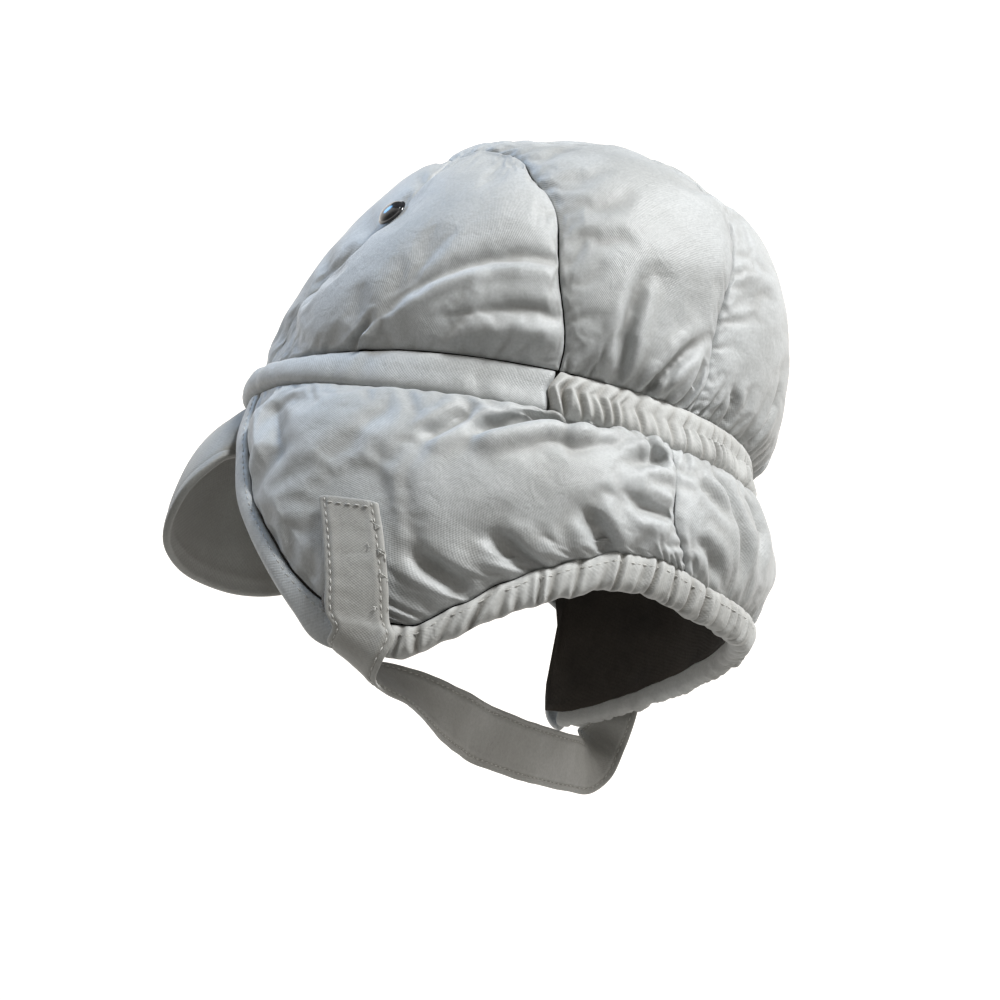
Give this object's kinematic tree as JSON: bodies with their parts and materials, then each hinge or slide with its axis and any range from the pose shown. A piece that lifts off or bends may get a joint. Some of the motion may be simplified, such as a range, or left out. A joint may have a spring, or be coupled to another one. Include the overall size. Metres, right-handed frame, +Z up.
{
  "type": "padded ski cap",
  "caption": "Padded woven ski cap with a drooping visor, ear flaps with press snaps, a gathered hem and a chin strap.",
  "frame": {"origin": "centre of the head band, where the head sits", "axes": "+Z up through the crown, square to the head band; -Y towards the visor; +X towards the wearer's left"},
  "size_m": [0.2053, 0.2606, 0.2673],
  "materials": {
    "shell_cloth": "light silver-grey plain weave with a faint satin sheen",
    "gathered_cloth": "the same cloth gathered over an elastic",
    "lining": "matt dark brown-grey lining",
    "snap": "glossy black lacquer"
  },
  "bodies": {
    "root": {"crown_front_center": "shell_cloth", "crown_top_back": "shell_cloth", "crown_front_left": "shell_cloth", "crown_side_left": "shell_cloth", "crown_front_right": "shell_cloth", "crown_side_right": "shell_cloth", "head_band_front": "shell_cloth", "head_band_back": "gathered_cloth", "hem_casing": "gathered_cloth", "ear_flap_left": "shell_cloth", "face_facing_left": "shell_cloth", "ear_flap_right": "shell_cloth", "face_facing_right": "shell_cloth", "nape_panel": "shell_cloth", "lining": "lining", "visor": "shell_cloth", "chin_strap": "shell_cloth", "crown_snap_left": "snap", "crown_snap_right": "snap", "flap_snap_left": "snap", "flap_snap_right": "snap"}
  },
  "joints": []
}
